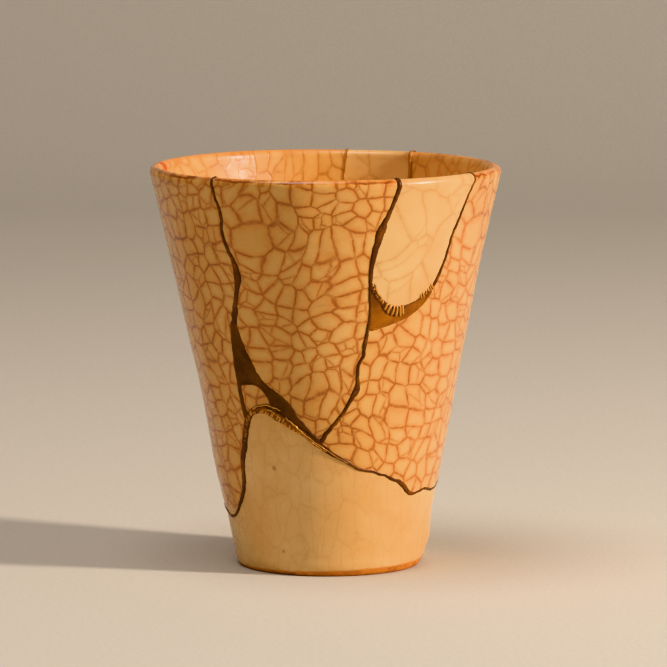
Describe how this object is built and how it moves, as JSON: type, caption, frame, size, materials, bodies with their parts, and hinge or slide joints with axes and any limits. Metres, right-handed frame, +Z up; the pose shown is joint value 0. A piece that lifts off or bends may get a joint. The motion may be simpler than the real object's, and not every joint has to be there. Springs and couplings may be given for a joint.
{
  "type": "kintsugi cup",
  "caption": "Small tapered stoneware cup, broken and mended with raised gold lacquer seams, putty fills and sherds let in from other pots.",
  "frame": {"origin": "on the table under the middle of the rim, at the level that the foot stands on", "axes": "+Z up along the cup's height; -Y towards the viewer, the side with the tongue let in at the rim; +X to the viewer's right"},
  "size_m": [0.074, 0.074, 0.0853],
  "materials": {
    "crazed_glaze": "gloss",
    "plain_glaze": "gloss",
    "putty_gold": "satin",
    "lacquer_gold": "satin"
  },
  "bodies": {
    "root": {"foot_sherd": "plain_glaze", "left_sherd": "crazed_glaze", "front_sherd": "crazed_glaze", "right_sherd": "crazed_glaze", "small_chip": "crazed_glaze", "rim_tongue": "plain_glaze", "back_tongue": "plain_glaze", "left_putty_fill": "putty_gold", "rim_putty_fill": "putty_gold", "lacquer_seams": "lacquer_gold"}
  },
  "joints": []
}
